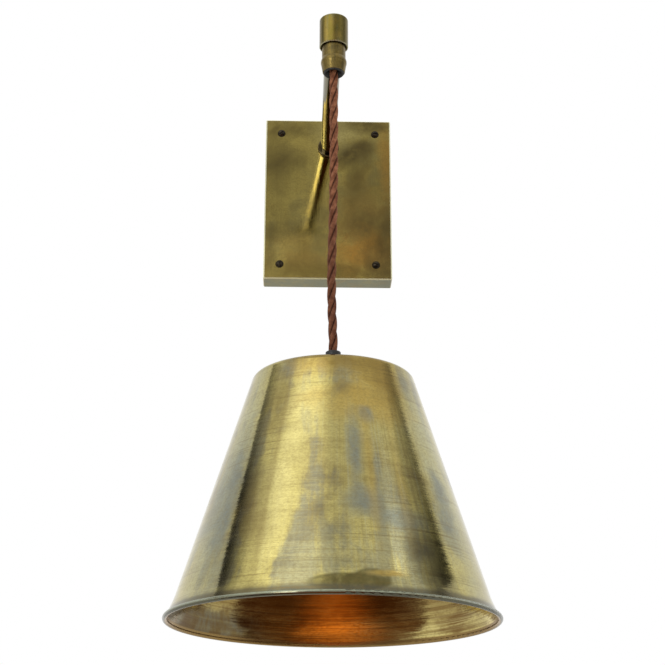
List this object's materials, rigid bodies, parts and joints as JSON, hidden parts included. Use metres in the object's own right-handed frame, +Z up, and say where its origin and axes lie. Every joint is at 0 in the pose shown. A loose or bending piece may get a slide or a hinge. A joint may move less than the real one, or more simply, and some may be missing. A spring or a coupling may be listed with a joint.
{
  "type": "hanging pendant wall sconce",
  "caption": "Wall light with a rectangular aged-brass plate, a straight arm and a conical brass shade hanging from the arm's tip on twisted braided flex.",
  "frame": {"origin": "on the wall plane, in the middle of the four wall screws, which is the middle of the plate", "axes": "+Z up, +Y into the wall, the arm points along -Y into the room"},
  "size_m": [0.203, 0.3155, 0.4387],
  "materials": {
    "plate_brass": "aged, mottled lacquered patina",
    "aged_brass": "aged satin brass",
    "shade_brass": "aged spun brass, blotched and lightly turned",
    "dark_brass": "blackened brass",
    "dark_screw": "blackened brass",
    "bright_brass": "bright brass",
    "steel": "zinc plated",
    "black_plastic": "moulded black",
    "braid": "brown braided cotton over three twisted cores",
    "porcelain": "white glaze",
    "nylon": "moulded natural nylon",
    "brown_core": "PVC",
    "blue_core": "PVC",
    "green_core": "PVC",
    "solder": "dull solder",
    "black_glass": "black glass",
    "plated_cap": "nickel-plated brass",
    "opal_glass": "opal white"
  },
  "bodies": {
    "bracket": {"wall_plate": "plate_brass", "wall_screws": "dark_screw", "arm_tube": "aged_brass", "arm_collar": "dark_brass", "arm_washer": "steel", "arm_nut": "steel", "tip_cap": "aged_brass", "grip_sleeve": "aged_brass", "grip_insert": "black_plastic", "feed_flex": "braid", "terminal_block": "nylon", "terminal_screws": "steel", "live_core": "brown_core", "neutral_core": "blue_core", "earth_core": "green_core", "earth_stud": "bright_brass", "earth_nut": "bright_brass"},
    "flex_bend": {"flex_neck": "braid"},
    "flex": {"flex_drop": "braid"},
    "flex_twist": {"flex_swivel": "braid"},
    "shade": {"flex_tail": "braid", "holder_bush": "black_plastic", "holder_nipple": "aged_brass", "holder_dome": "aged_brass", "holder_skirt": "aged_brass", "shade_ring": "aged_brass", "porcelain": "porcelain", "socket_shell": "bright_brass", "socket_contact": "bright_brass", "shade": "shade_brass"},
    "lamp_screw": {"lamp_pip": "solder", "lamp_insulator": "black_glass"},
    "lamp": {"lamp_cap": "plated_cap", "lamp_glass": "opal_glass"}
  },
  "joints": [
    {"name": "swing_side", "type": "hinge", "parent": "bracket", "child": "flex_bend", "pos_m": [0, -0.1935, 0.0121], "axis": [0, 1, 0], "range_deg": [-25, 25]},
    {"name": "swing_fore", "type": "hinge", "parent": "flex_bend", "child": "flex", "pos_m": [0, -0.1935, 0.0121], "axis": [1, 0, 0], "range_deg": [-25, 13]},
    {"name": "shade_turn", "type": "hinge", "parent": "flex", "child": "flex_twist", "pos_m": [0, -0.1935, -0.1976], "axis": [0, 0, 1], "range_deg": [-180, 180]},
    {"name": "shade_tilt", "type": "hinge", "parent": "flex_twist", "child": "shade", "pos_m": [0, -0.1935, -0.1976], "axis": [0, 1, 0], "range_deg": [-12, 12]},
    {"name": "lamp_turn", "type": "hinge", "parent": "lamp_screw", "child": "lamp", "pos_m": [0, -0.1935, -0.25], "axis": [0, 0, -1], "range_deg": [0, 1800]},
    {"name": "lamp_travel", "type": "slide", "parent": "shade", "child": "lamp_screw", "axis": [0, 0, -1], "range_m": [0, 0.0182]}
  ],
  "couplings": [
    {"joint": "lamp_travel", "follows": "lamp_turn", "m_per_rad": 0.00057757}
  ]
}
